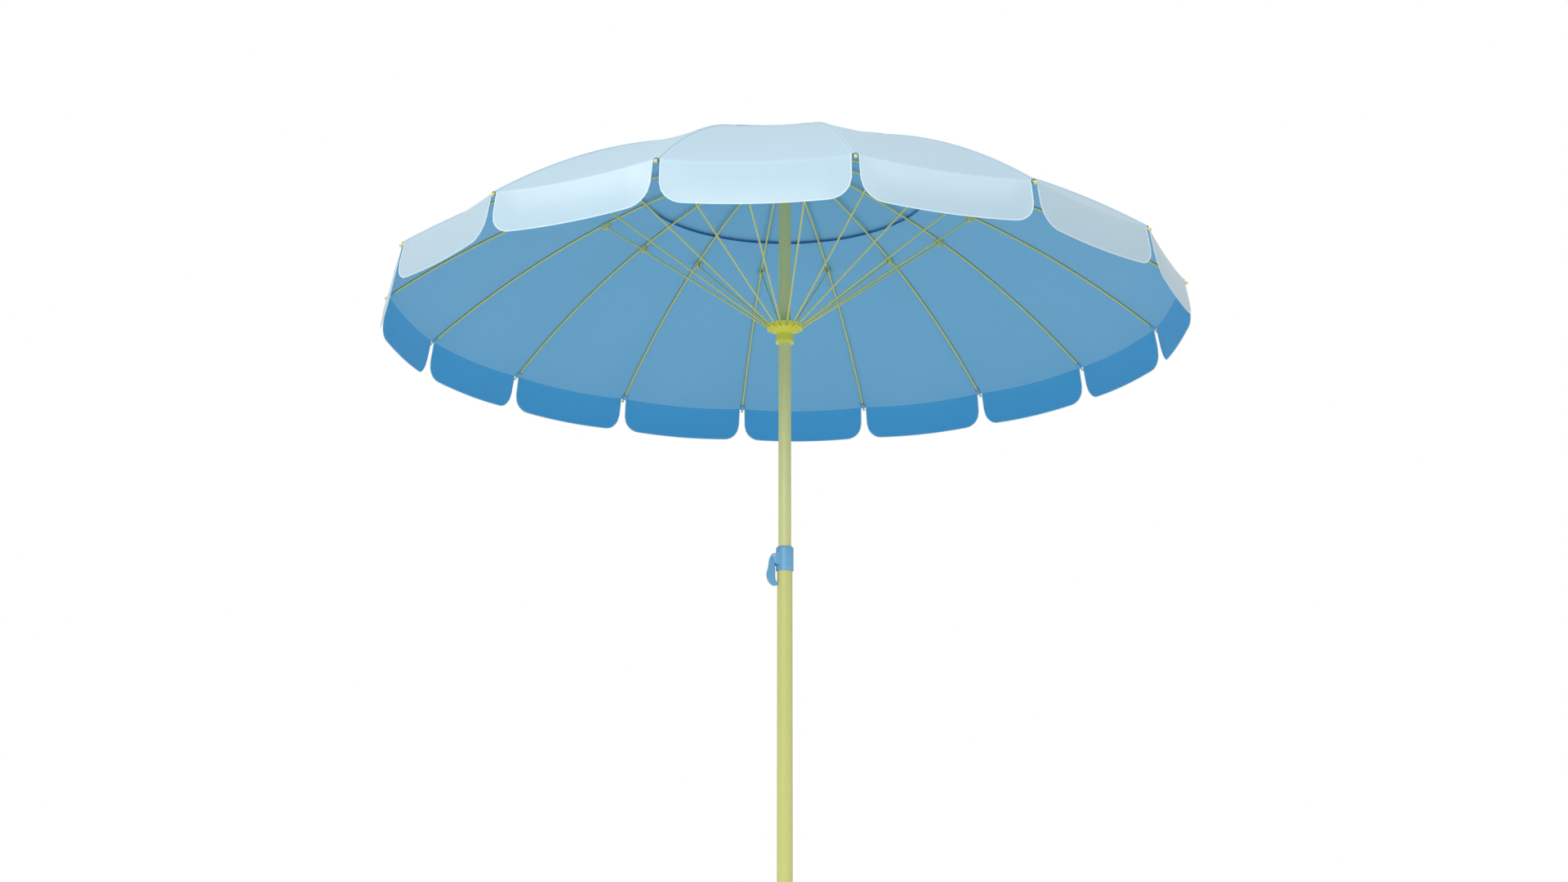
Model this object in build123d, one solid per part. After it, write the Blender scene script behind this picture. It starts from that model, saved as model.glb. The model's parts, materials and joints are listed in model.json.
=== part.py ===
from build123d import *
import math
import os

# Beach umbrella with sixteen ribs, a two-part telescopic pole and a cam clamp.
# Millimetres, +Z up, origin under the tip of the ground spike.
# A rib is drawn along +X in the XZ plane, then turned about the pole to its place.

# Canopy
RIB_COUNT = 16
RIM_RADIUS = 1000.0
RIM_HEIGHT = 1750.0
CROWN_RISE = 440.0
CROWN_PIVOT_RADIUS = 42.0
RIB_MIDDLE_RADIUS = 500.0
RIB_MIDDLE_RISE = 298.5
FABRIC = 1.2
FABRIC_GAP = 0.3
SEAM_GAP = 0.3
PANEL_TO_TIP = 6.0
VENT_RADIUS = 390.0
CAP_RADIUS = 460.0
CAP_LIFT = 8.5
FLAP_LENGTH = 97.0
FLAP_ANGLE = 81.0
FLAP_CORNER = 42.0
NOTCH_WIDTH = 15.0

# Ribs, clips and stretchers
RIB_WIRE = 5.0
RIB_EYE = 7.6
RIB_EYE_WIDTH = 3.2
RIB_NECK = 8.0
NECK_INSET = 0.3
NECK_OVERLAP = 2.0
TIP_BALL = 8.0
RING_WIRE = 2.0
RING_CLEARANCE = 0.1
CLIP_LENGTH = 22.0
CLIP_WIDTH = 10.0
CLIP_ABOVE = 1.0
CLIP_BELOW = 13.5
CLIP_SLOT = 5.2
CLIP_SLOT_TOP = 3.9
CLIP_PIVOT_DROP = 8.6
RIVET = 2.4
RIVET_CLEARANCE = 0.05
RIVET_STAND_OUT = 0.4
STRETCHER_WIRE = 4.5
STRETCHER_EYE = 8.6
STRETCHER_TAB = 3.2

# Runner and crown
RUNNER_DROP = 33.0
RUNNER_PIVOT_RADIUS = 40.0
FLANGE_RADIUS = 46.0
FLANGE_ABOVE = 6.0
FLANGE_BELOW = 5.0
SLOT_WIDTH = 5.8
SLOT_DEPTH_RADIUS = 33.0
CONE_HEIGHT = 13.0
NECK_RADIUS = 21.5
FOOT_RING_RADIUS = 23.0
FOOT_RING_HEIGHT = 8.0
RUNNER_LENGTH = 48.0
RUNNER_CLEARANCE = 0.3
HUB_FLANGE_RADIUS = 47.5
HUB_ABOVE = 6.5
HUB_BELOW = 4.5
HUB_SKIRT_RADIUS = 22.0
HUB_SKIRT_LENGTH = 40.0
HUB_BOSS_RADIUS = 23.0
HUB_BOSS_HEIGHT = 16.0
FINIAL_RADIUS = 27.0
FINIAL_HEIGHT = 40.0
FINIAL_RIM = 6.0
FINIAL_STUD_RADIUS = 8.0
FINIAL_STUD_LENGTH = 12.0

# Pole
UPPER_DIAMETER = 32.0
UPPER_WALL = 1.5
UPPER_BOTTOM = 766.0
LOWER_DIAMETER = 38.0
LOWER_WALL = 1.5
LOWER_TOP = 1133.0
SHOULDER = 0.2
BUSH_LENGTH = 60.0
BUSH_FLOOR = 6.0
BUSH_CLEARANCE = 0.1
SWIVEL_CLEARANCE = 0.05
DEPTH_MARK_HEIGHT = 336.0
DEPTH_MARK_WIDTH = 4.0
DEPTH_MARK_DEPTH = 0.4
SPIKE_POINT_HEIGHT = 60.0
SPIKE_POINT_RADIUS = 1.5
SPIKE_SHOULDER_HEIGHT = 6.0
SPIKE_PLUG_LENGTH = 44.0
SPIKE_FIN = 3.0
SPIKE_FIN_START = 6.0

# Clamp
COLLAR_BOTTOM = 1088.0
COLLAR_TOP = 1148.0
COLLAR_RADIUS = 21.75
COLLAR_CHAMFER = 3.0
COLLAR_GAP = 0.3
COLLAR_SLIT = 3.0
PIN_DIAMETER = 4.0
PIN_CLEARANCE = 0.05
PIN_HEAD_DIAMETER = 6.4
PIN_HEAD_HEIGHT = 1.2
PIN_BELOW_TOP = 24.0
EAR_RADIUS = 5.8
EAR_WIDTH = 36.0
LOBE_RADIUS = 16.0
LOBE_BELOW_TOP = 31.0
LOBE_STAND_OUT = 8.5
LEVER_WIDTH = 18.0
LEVER_LENGTH = 72.5
LEVER_EYE_RADIUS = 6.4
LEVER_STAND_OFF = 5.7
LEVER_BULGE = 20.5
LEVER_SHOULDER = 5.0
LEVER_HEEL = 7.0
CORE_DEPTH = 28.0
CORE_WIDTH = 11.8
HOOK_HEIGHT = 9.0
HOOK_WRAP = 4.0
HOOK_RISE = 3.0
HOOK_CLEARANCE = 0.5
LEVER_SIDE_GAP = 0.4
LEVER_EDGE = 1.5

# Spring catch under the runner
CATCH_WIDTH = 5.0
CATCH_HEIGHT = 17.0
CATCH_REACH = 5.0
CATCH_GAP = 0.3
LEAF_THICKNESS = 1.2
LEAF_LENGTH = 70.0
LEAF_INSET = 4.0
CATCH_LIP = 3.0

pitch = 360.0 / RIB_COUNT
half_pitch = pitch / 2
crown_height = RIM_HEIGHT + CROWN_RISE
runner_pivot_height = RIM_HEIGHT - RUNNER_DROP
runner_top = runner_pivot_height + FLANGE_ABOVE
runner_bottom = runner_top - RUNNER_LENGTH
upper_radius = UPPER_DIAMETER / 2
lower_radius = LOWER_DIAMETER / 2
hub_bottom = crown_height - HUB_BELOW - HUB_SKIRT_LENGTH
upper_top = crown_height
collar_pin_height = COLLAR_TOP - PIN_BELOW_TOP
collar_pin_x = -(COLLAR_RADIUS + LEVER_EYE_RADIUS + LEVER_SIDE_GAP)


def arc_through(first, middle, last):
    """Centre and radius, in the rib's plane, of the circle through three points."""
    (ax, az), (bx, bz), (cx, cz) = first, middle, last
    twice_area = 2 * (ax * (bz - cz) + bx * (cz - az) + cx * (az - bz))
    a2 = ax * ax + az * az
    b2 = bx * bx + bz * bz
    c2 = cx * cx + cz * cz
    x = (a2 * (bz - cz) + b2 * (cz - az) + c2 * (az - bz)) / twice_area
    z = (a2 * (cx - bx) + b2 * (ax - cx) + c2 * (bx - ax)) / twice_area
    return x, z, math.hypot(ax - x, az - z)


crown_point = (CROWN_PIVOT_RADIUS, crown_height)
middle_point = (RIB_MIDDLE_RADIUS, RIM_HEIGHT + RIB_MIDDLE_RISE)
tip_point = (RIM_RADIUS, RIM_HEIGHT)
rib_x, rib_z, rib_radius = arc_through(crown_point, middle_point, tip_point)


def rib_angle(point):
    """Angle of a point from straight up, seen from the centre of the rib's arc."""
    return math.atan2(point[0] - rib_x, point[1] - rib_z)


def above_rib(angle, lift):
    """Point in the rib's plane at an angle along the arc, lifted off the wire's axis."""
    reach = rib_radius + lift
    return rib_x + reach * math.sin(angle), rib_z + reach * math.cos(angle)


def rib_angle_at(radius):
    """Angle along the rib's arc at a distance from the pole."""
    return math.asin((radius - rib_x) / rib_radius)


clip_angle = rib_angle(middle_point)
clip_pivot = above_rib(clip_angle, -CLIP_PIVOT_DROP)
runner_pivot = (RUNNER_PIVOT_RADIUS, runner_pivot_height)


def in_space(point):
    """A point of the rib's plane as a vector."""
    return Vector(point[0], 0, point[1])


def cylinder_along_y(point, radius, width):
    """Solid disc or pin on an axis parallel to Y, centred on the rib's plane."""
    return Pos(in_space(point)) * Rot(90, 0, 0) * Cylinder(radius, width)


def ring(radius, wire):
    """Wire ring about the pole."""
    return Torus(radius, wire / 2)


def turned(shape, angle):
    """Shape turned about the pole by an angle in degrees."""
    return Rot(0, 0, angle) * shape


def tube(radius, bore, bottom, top):
    """Straight tube about the pole's axis."""
    length = top - bottom
    wall = Cylinder(radius, length) - Cylinder(bore, length)
    return Pos(0, 0, (bottom + top) / 2) * wall


def disc(radius, bottom, top):
    """Solid round about the pole's axis."""
    return Pos(0, 0, (bottom + top) / 2) * Cylinder(radius, top - bottom)


def block(x, y, z):
    """Box from its limits along each axis."""
    size = Box(x[1] - x[0], y[1] - y[0], z[1] - z[0])
    return Pos((x[0] + x[1]) / 2, (y[0] + y[1]) / 2, (z[0] + z[1]) / 2) * size


def plate(points, width):
    """Closed outline in the rib's plane, made as wide as given across it."""
    outline = make_face(Polyline([in_space(p) for p in points], close=True))
    return extrude(outline, width / 2, dir=(0, 1, 0), both=True)


def rib_slots(bottom, top, outer):
    """One radial slot for each rib, to be cut from a hub or the runner."""
    cut = block((SLOT_DEPTH_RADIUS, outer + 1), (-SLOT_WIDTH / 2, SLOT_WIDTH / 2), (bottom, top))
    return [turned(cut, k * pitch) for k in range(RIB_COUNT)]


def make_rib():
    """Wire with a flattened eye at the crown, moulded clip and tip ball."""
    start = rib_angle(crown_point) + RIB_NECK / rib_radius
    end = rib_angle(tip_point)
    section = Plane(origin=in_space(above_rib(start, 0)), z_dir=(math.cos(start), 0, -math.sin(start)))
    arc_axis = Axis((rib_x, 0, rib_z), (0, 1, 0))
    wire = revolve(section * Circle(RIB_WIRE / 2), arc_axis, math.degrees(end - start))
    eye = cylinder_along_y(crown_point, RIB_EYE / 2, RIB_EYE_WIDTH)
    neck_side = RIB_WIRE / 2 - NECK_INSET
    neck_start = rib_angle(crown_point)
    neck_end = start + NECK_OVERLAP / rib_radius
    neck = plate(
        [
            above_rib(neck_start, neck_side),
            above_rib(neck_end, neck_side),
            above_rib(neck_end, -neck_side),
            above_rib(neck_start, -neck_side),
        ],
        RIB_EYE_WIDTH,
    )
    hole = cylinder_along_y(crown_point, RING_WIRE / 2 + RING_CLEARANCE, RIB_EYE_WIDTH + 1)
    wire = wire + eye + neck - hole
    ball = Pos(in_space(tip_point)) * Sphere(TIP_BALL / 2) - wire
    return [wire, make_clip(), ball]


def make_clip():
    """Moulded clip snapped on the rib, slotted for the stretcher's eye."""
    spread = CLIP_LENGTH / 2 / rib_radius
    corners = [
        above_rib(clip_angle - spread, CLIP_ABOVE),
        above_rib(clip_angle + spread, CLIP_ABOVE),
        above_rib(clip_angle + spread, -CLIP_BELOW),
        above_rib(clip_angle - spread, -CLIP_BELOW),
    ]
    body = plate(corners, CLIP_WIDTH)
    lower_edges = body.edges().filter_by(Axis.Y).sort_by(Axis.Z)[:2]
    body = fillet(lower_edges, RIB_WIRE)
    slot = plate(
        [
            above_rib(clip_angle - 2 * spread, -CLIP_SLOT_TOP),
            above_rib(clip_angle + 2 * spread, -CLIP_SLOT_TOP),
            above_rib(clip_angle + 2 * spread, -CLIP_BELOW - CLIP_WIDTH),
            above_rib(clip_angle - 2 * spread, -CLIP_BELOW - CLIP_WIDTH),
        ],
        CLIP_SLOT,
    )
    bed = revolve(
        Plane(
            origin=in_space(above_rib(clip_angle - 2 * spread, 0)),
            z_dir=(math.cos(clip_angle - 2 * spread), 0, -math.sin(clip_angle - 2 * spread)),
        )
        * Circle(RIB_WIRE / 2),
        Axis((rib_x, 0, rib_z), (0, 1, 0)),
        math.degrees(4 * spread),
    )
    hole = cylinder_along_y(clip_pivot, RIVET / 2 + RIVET_CLEARANCE, CLIP_WIDTH + 1)
    return body - slot - bed - hole


def make_stretcher():
    """Straight wire from the clip's rivet to a thin tab in the runner's slot."""
    outer = in_space(clip_pivot)
    inner = in_space(runner_pivot)
    span = inner - outer
    along = span.normalized()
    tab_start = outer + along * (span.length - STRETCHER_TAB - RIB_EYE)
    wire_length = (tab_start - outer).length
    wire = extrude(Plane(origin=outer, z_dir=along) * Circle(STRETCHER_WIRE / 2), wire_length)
    eye = cylinder_along_y(clip_pivot, STRETCHER_EYE / 2, STRETCHER_WIRE)
    rivet = cylinder_along_y(clip_pivot, RIVET / 2, CLIP_WIDTH + 2 * RIVET_STAND_OUT)
    side = Vector(along.Z, 0, -along.X) * (STRETCHER_WIRE / 2)
    tab = extrude(
        make_face(Polyline([tab_start + side, inner + side, inner - side, tab_start - side], close=True)),
        STRETCHER_TAB / 2,
        dir=(0, 1, 0),
        both=True,
    )
    toe = cylinder_along_y(runner_pivot, STRETCHER_WIRE / 2, STRETCHER_TAB)
    return wire + eye + rivet + tab + toe


def half_wedge(gap):
    """Sector between a rib's plane and the middle of the panel, in the panel's own frame."""
    reach = 2 * RIM_RADIUS
    slope = math.tan(math.radians(half_pitch))
    corners = [(0, -gap / 2), (reach, -gap / 2), (reach, -reach * slope)]
    outline = make_face(Polyline([Vector(x, y, 0) for x, y in corners], close=True))
    return extrude(outline, 2 * (RIM_HEIGHT + CROWN_RISE))


def fabric_profile(inner_radius, outer_radius, lift):
    """Section of a panel on its middle line, which is nearer the pole than its ribs are."""
    shrink = math.cos(math.radians(half_pitch))
    angles = [rib_angle_at(inner_radius), rib_angle_at(outer_radius)]
    angles.insert(1, sum(angles) / 2)

    def line(extra):
        points = [above_rib(angle, lift + extra) for angle in angles]
        return [Vector(x * shrink, 0, z) for x, z in points]

    under = line(0)
    over = line(FABRIC)
    edges = [
        ThreePointArc(*under),
        Line(under[2], over[2]),
        ThreePointArc(*over),
        Line(over[0], under[0]),
    ]
    return make_face(edges), under[2]


def make_flap(edge):
    """Half of the valance flap that hangs from a panel's edge, in the panel's own frame."""
    down = math.radians(FLAP_ANGLE)
    half_chord = edge.X * math.tan(math.radians(half_pitch)) - NOTCH_WIDTH / 2
    hang = Plane(origin=edge, x_dir=(0, -1, 0), z_dir=(math.sin(down), 0, math.cos(down)))
    outline = Pos(half_chord / 2, -FLAP_LENGTH / 2) * Rectangle(half_chord, FLAP_LENGTH)
    corner = outline.vertices().group_by(Axis.Y)[0].sort_by(Axis.X)[-1]
    outline = fillet(corner, FLAP_CORNER)
    return extrude(hang * outline, FABRIC)


def make_gore():
    """Canopy cloth on one rib: half a panel and half a flap on each side of it."""
    section, edge = fabric_profile(VENT_RADIUS, RIM_RADIUS - PANEL_TO_TIP, RIB_WIRE / 2 + FABRIC_GAP)
    panel = extrude(section, RIM_RADIUS, dir=(0, -1, 0)) + make_flap(edge)
    half = turned(panel & half_wedge(SEAM_GAP), half_pitch)
    return half + mirror(half, Plane.XZ)


def make_vent_cap():
    """Upper canopy layer over the vent, held between the crown and the finial."""
    angles = [rib_angle_at(HUB_BOSS_RADIUS), rib_angle_at(CAP_RADIUS)]
    angles.insert(1, sum(angles) / 2)
    under = [in_space(above_rib(angle, CAP_LIFT)) for angle in angles]
    over = [in_space(above_rib(angle, CAP_LIFT + FABRIC)) for angle in angles]
    edges = [ThreePointArc(*under), Line(under[2], over[2]), ThreePointArc(*over), Line(over[0], under[0])]
    return revolve(make_face(edges), Axis.Z)


def make_crown_hub():
    """Moulded crown on the pole's top, with a wire ring that the rib eyes turn on."""
    low = crown_height - HUB_BELOW
    high = crown_height + HUB_ABOVE
    body = disc(HUB_FLANGE_RADIUS, low, high)
    body += disc(HUB_SKIRT_RADIUS, hub_bottom, low)
    body += disc(HUB_BOSS_RADIUS, high, crown_height + HUB_BOSS_HEIGHT)
    body -= disc(upper_radius, hub_bottom, upper_top)
    body -= disc(FINIAL_STUD_RADIUS, upper_top, crown_height + HUB_BOSS_HEIGHT)
    wire = Pos(0, 0, crown_height) * ring(CROWN_PIVOT_RADIUS, RING_WIRE)
    body -= rib_slots(low - 1, high + 1, HUB_FLANGE_RADIUS)
    return [body - wire, wire]


def make_runner():
    """Sliding runner: slotted flange, cone, neck and foot ring."""
    flange_low = runner_pivot_height - FLANGE_BELOW
    cone_low = flange_low - CONE_HEIGHT
    body = disc(FLANGE_RADIUS, flange_low, runner_top)
    cone = Cone(NECK_RADIUS, SLOT_DEPTH_RADIUS, CONE_HEIGHT)
    body += Pos(0, 0, (flange_low + cone_low) / 2) * cone
    body += disc(NECK_RADIUS, runner_bottom, cone_low)
    body += disc(FOOT_RING_RADIUS, runner_bottom, runner_bottom + FOOT_RING_HEIGHT)
    body -= disc(upper_radius + RUNNER_CLEARANCE, runner_bottom, runner_top)
    slots = rib_slots(flange_low - 1, runner_top + 1, FLANGE_RADIUS)
    body -= slots
    wire = Pos(0, 0, runner_pivot_height) * ring(RUNNER_PIVOT_RADIUS, RING_WIRE) - slots
    return [body - wire] + list(wire.solids())


def make_finial():
    """Domed top piece whose stud fits the crown."""
    base = crown_height + HUB_BOSS_HEIGHT
    dome = scale(Sphere(FINIAL_RADIUS), by=(1, 1, (FINIAL_HEIGHT - FINIAL_RIM) / FINIAL_RADIUS))
    dome_low = base + FINIAL_RIM
    dome = Pos(0, 0, dome_low) * dome & disc(FINIAL_RADIUS, dome_low, base + FINIAL_HEIGHT + 1)
    rim = disc(FINIAL_RADIUS, base, dome_low)
    stud = disc(FINIAL_STUD_RADIUS, base - FINIAL_STUD_LENGTH, base)
    return rim + dome + stud


def make_upper_tube():
    """Upper pole with a window for the spring catch."""
    pole = tube(upper_radius, upper_radius - UPPER_WALL, UPPER_BOTTOM, upper_top)
    half_width = CATCH_WIDTH / 2 + CATCH_GAP
    top = runner_bottom - CATCH_GAP
    window = block((-half_width, half_width), (0, UPPER_DIAMETER), (top - CATCH_HEIGHT - 1, top + 1))
    return pole - window


def make_runner_catch():
    """Spring leaf inside the pole with a wedge that stands out under the runner."""
    top = runner_bottom - CATCH_GAP
    bottom = top - CATCH_HEIGHT
    inside = upper_radius - UPPER_WALL - LEAF_INSET
    leaf_x = (-CATCH_WIDTH / 2, CATCH_WIDTH / 2)
    leaf = block(leaf_x, (inside - LEAF_THICKNESS, inside), (top - LEAF_LENGTH, top))
    reach = upper_radius + CATCH_REACH
    outline = [
        Vector(0, inside, bottom),
        Vector(0, upper_radius, bottom),
        Vector(0, reach, top - CATCH_LIP),
        Vector(0, reach, top),
        Vector(0, inside, top),
    ]
    face = make_face(Polyline(outline, close=True))
    wedge = extrude(face, CATCH_WIDTH / 2, dir=(1, 0, 0), both=True)
    return leaf + wedge


def make_guide_bush():
    """Cup on the upper pole's lower end that slides and turns in the lower tube."""
    outer = lower_radius - LOWER_WALL - BUSH_CLEARANCE
    bottom = UPPER_BOTTOM - BUSH_FLOOR
    cup = disc(outer, bottom, bottom + BUSH_LENGTH)
    return cup - disc(upper_radius + SWIVEL_CLEARANCE, UPPER_BOTTOM, bottom + BUSH_LENGTH)


def make_lower_tube():
    """Lower pole with a groove that marks how deep it stands, turned down where the collar grips it."""
    bottom = SPIKE_POINT_HEIGHT + SPIKE_SHOULDER_HEIGHT
    pole = tube(lower_radius, lower_radius - LOWER_WALL, bottom, COLLAR_BOTTOM)
    groove_top = DEPTH_MARK_HEIGHT + DEPTH_MARK_WIDTH
    pole -= tube(lower_radius + 1, lower_radius - DEPTH_MARK_DEPTH, DEPTH_MARK_HEIGHT, groove_top)
    return pole + tube(lower_radius - SHOULDER, lower_radius - LOWER_WALL, COLLAR_BOTTOM, LOWER_TOP)


def make_ground_spike():
    """Pointed ground end plugged into the lower tube, with four cutting fins."""
    plug_bottom = SPIKE_POINT_HEIGHT + SPIKE_SHOULDER_HEIGHT
    shaft = lower_radius - SHOULDER - SPIKE_FIN
    point = Pos(0, 0, SPIKE_POINT_HEIGHT / 2) * Cone(SPIKE_POINT_RADIUS, shaft, SPIKE_POINT_HEIGHT)
    fin_radius = lower_radius - SHOULDER
    fin_outline = [(0, SPIKE_FIN_START), (fin_radius, SPIKE_POINT_HEIGHT), (0, SPIKE_POINT_HEIGHT)]
    fin = plate(fin_outline, SPIKE_FIN)
    fins = [turned(fin, 45 + 90 * k) + turned(fin, 225 + 90 * k) for k in range(2)]
    shoulder = disc(lower_radius - SHOULDER, SPIKE_POINT_HEIGHT, plug_bottom)
    plug = disc(lower_radius - LOWER_WALL, plug_bottom, plug_bottom + SPIKE_PLUG_LENGTH)
    return point + fins[0] + fins[1] + shoulder + plug


def make_clamp_collar():
    """Split collar on the lower tube, with two broad cheeks that hold the cam lever between them."""
    pin = (collar_pin_x, collar_pin_height)
    lobe = (-(COLLAR_RADIUS + LOBE_STAND_OUT - LOBE_RADIUS), COLLAR_TOP - LOBE_BELOW_TOP)
    body = disc(COLLAR_RADIUS, COLLAR_BOTTOM, COLLAR_TOP)
    body = chamfer(body.edges().group_by(Axis.Z)[-1], COLLAR_CHAMFER)
    ear = cylinder_along_y(pin, EAR_RADIUS, EAR_WIDTH)
    web_z = (collar_pin_height - EAR_RADIUS, collar_pin_height + EAR_RADIUS)
    ear += block((collar_pin_x, 0), (-EAR_WIDTH / 2, EAR_WIDTH / 2), web_z)
    ear += cylinder_along_y(lobe, LOBE_RADIUS, EAR_WIDTH)
    gap = LEVER_WIDTH / 2 + LEVER_SIDE_GAP
    lever_room = block((2 * collar_pin_x, 0), (-gap, gap), (COLLAR_BOTTOM, COLLAR_TOP))
    ear -= lever_room - disc(COLLAR_RADIUS, COLLAR_BOTTOM, COLLAR_TOP)
    body += ear
    body -= disc(lower_radius - SHOULDER, COLLAR_BOTTOM, LOWER_TOP)
    body -= disc(upper_radius + COLLAR_GAP, LOWER_TOP, COLLAR_TOP)
    slit = (-COLLAR_SLIT / 2, COLLAR_SLIT / 2)
    body -= block((collar_pin_x - EAR_RADIUS - 1, 0), slit, (COLLAR_BOTTOM, COLLAR_TOP))
    return body - cylinder_along_y(pin, PIN_DIAMETER / 2, EAR_WIDTH + 1)


def make_lever_pin():
    """Headed pin through the collar's cheeks and the lever."""
    pin = (collar_pin_x, collar_pin_height)
    body = cylinder_along_y(pin, PIN_DIAMETER / 2, EAR_WIDTH + 2 * PIN_HEAD_HEIGHT)
    head = cylinder_along_y(pin, PIN_HEAD_DIAMETER / 2, PIN_HEAD_HEIGHT)
    offset = (EAR_WIDTH + PIN_HEAD_HEIGHT) / 2
    return body + Pos(0, offset, 0) * head + Pos(0, -offset, 0) * head


def make_clamp_lever():
    """Cam lever, cored out at its pin, that bulges off the pole and hooks in round it at its foot."""
    pin = (collar_pin_x, collar_pin_height)
    eye_left = collar_pin_x - LEVER_EYE_RADIUS
    inner = -(lower_radius + LEVER_STAND_OFF)
    outer = inner - LEVER_BULGE
    foot = collar_pin_height - LEVER_LENGTH
    hook_tip = -(lower_radius - HOOK_WRAP)
    back = Spline(
        in_space((eye_left, collar_pin_height)),
        in_space((outer + LEVER_SHOULDER, collar_pin_height - 0.3 * LEVER_LENGTH)),
        in_space((outer, collar_pin_height - 0.6 * LEVER_LENGTH)),
        in_space((outer + LEVER_HEEL, collar_pin_height - 0.9 * LEVER_LENGTH)),
        in_space((inner, foot)),
        tangents=[(-1, 0, -1), (1, 0, 0)],
    )
    hook_bottom = foot + HOOK_RISE
    hook_top = foot + HOOK_HEIGHT
    hook_low = Line(in_space((inner, foot)), in_space((hook_tip, hook_bottom)))
    hook_end = Line(in_space((hook_tip, hook_bottom)), in_space((hook_tip, hook_top - 2)))
    front = Spline(
        in_space((hook_tip, hook_top - 2)),
        in_space((inner + 1.5, hook_top + HOOK_RISE)),
        in_space((inner, foot + 2.5 * HOOK_HEIGHT)),
        in_space((inner, collar_pin_height - CORE_DEPTH)),
        tangents=[(-1, 0, 0), (0, 0, 1)],
    )
    neck = Line(in_space((inner, collar_pin_height - CORE_DEPTH)), in_space(pin))
    top = Line(in_space(pin), in_space((eye_left, collar_pin_height)))
    outline = make_face([back, hook_low, hook_end, front, neck, top])
    body = extrude(outline, LEVER_WIDTH / 2, dir=(0, 1, 0), both=True)
    back_edges = body.edges().filter_by(GeomType.BSPLINE).sort_by(SortBy.LENGTH)[-2:]
    body = fillet(back_edges, LEVER_EDGE)
    body += cylinder_along_y(pin, LEVER_EYE_RADIUS, LEVER_WIDTH)
    core_y = (-CORE_WIDTH / 2, CORE_WIDTH / 2)
    core_z = (collar_pin_height - CORE_DEPTH, collar_pin_height + LEVER_EYE_RADIUS + 1)
    body -= block((outer, 0), core_y, core_z)
    body -= disc(lower_radius + HOOK_CLEARANCE, foot - 1, foot + 2 * HOOK_HEIGHT)
    return body - cylinder_along_y(pin, PIN_DIAMETER / 2 + PIN_CLEARANCE, LEVER_WIDTH + 1)


def save(name, shapes):
    """Write one node; several solids of one node are kept apart."""
    if isinstance(shapes, list):
        shapes = Compound(children=[solid for shape in shapes for solid in shape.solids()])
    export_step(shapes, f"parts/{name}.step")


os.makedirs("parts", exist_ok=True)
save("ground_spike", make_ground_spike())
save("lower_tube", make_lower_tube())
save("clamp_collar", make_clamp_collar())
save("lever_pin", make_lever_pin())
save("clamp_lever", make_clamp_lever())
save("guide_bush", make_guide_bush())
save("upper_tube", make_upper_tube())
save("crown_hub", make_crown_hub())
save("finial", make_finial())
save("runner", make_runner())
save("runner_catch", make_runner_catch())
save("vent_cap", make_vent_cap())

rib = make_rib()
stretcher = make_stretcher()
gore = make_gore()
for number in range(RIB_COUNT):
    place = number * pitch
    label = f"{number + 1:02d}"
    save(f"rib_{label}", [turned(piece, place) for piece in rib])
    save(f"stretcher_{label}", turned(stretcher, place))
    save(f"canopy_gore_{label}", turned(gore, place))
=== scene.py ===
import json
import math

import bpy
import numpy as np
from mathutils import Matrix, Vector, noise


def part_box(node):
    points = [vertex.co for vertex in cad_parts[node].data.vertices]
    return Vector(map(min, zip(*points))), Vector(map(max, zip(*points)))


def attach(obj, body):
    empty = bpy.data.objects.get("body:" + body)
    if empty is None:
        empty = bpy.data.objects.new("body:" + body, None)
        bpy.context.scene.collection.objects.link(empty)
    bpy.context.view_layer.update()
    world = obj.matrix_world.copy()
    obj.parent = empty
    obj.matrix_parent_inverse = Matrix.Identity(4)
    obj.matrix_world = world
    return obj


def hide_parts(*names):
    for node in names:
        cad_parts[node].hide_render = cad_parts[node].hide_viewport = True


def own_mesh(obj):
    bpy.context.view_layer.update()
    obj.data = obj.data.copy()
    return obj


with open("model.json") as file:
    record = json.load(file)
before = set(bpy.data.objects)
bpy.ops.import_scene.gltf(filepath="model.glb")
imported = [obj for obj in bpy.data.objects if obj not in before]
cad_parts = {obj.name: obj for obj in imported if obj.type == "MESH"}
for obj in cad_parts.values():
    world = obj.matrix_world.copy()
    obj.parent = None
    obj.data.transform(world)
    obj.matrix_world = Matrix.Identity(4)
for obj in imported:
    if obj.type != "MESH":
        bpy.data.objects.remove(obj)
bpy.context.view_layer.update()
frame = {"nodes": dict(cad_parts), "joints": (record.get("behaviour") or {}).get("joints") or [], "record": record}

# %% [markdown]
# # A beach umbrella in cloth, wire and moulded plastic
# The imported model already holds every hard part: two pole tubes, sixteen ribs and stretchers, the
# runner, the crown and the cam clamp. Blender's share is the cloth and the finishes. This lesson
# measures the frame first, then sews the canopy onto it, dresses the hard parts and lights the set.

joints = {joint["name"]: joint for joint in frame["joints"]}
RIBS = sum(name.startswith("rib_") for name in frame["nodes"])
PITCH = 2 * math.pi / RIBS
HALF = PITCH / 2

# %% [markdown]
# ## The line of a rib
# The cloth has to lie on the wires, so its shape starts from the wire's own arc. Three points settle a
# circle: the crown pivot, the rib's tip and the point above the clip's rivet. The first and the last
# come from the joints. Working it out from the frame keeps the cloth on the wires if the frame changes.

# %% Find the rib's arc
WIRE_RADIUS = 0.0025
TIP_BALL_RADIUS = 0.004
RIVET_BELOW_WIRE = 0.0086

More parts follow.
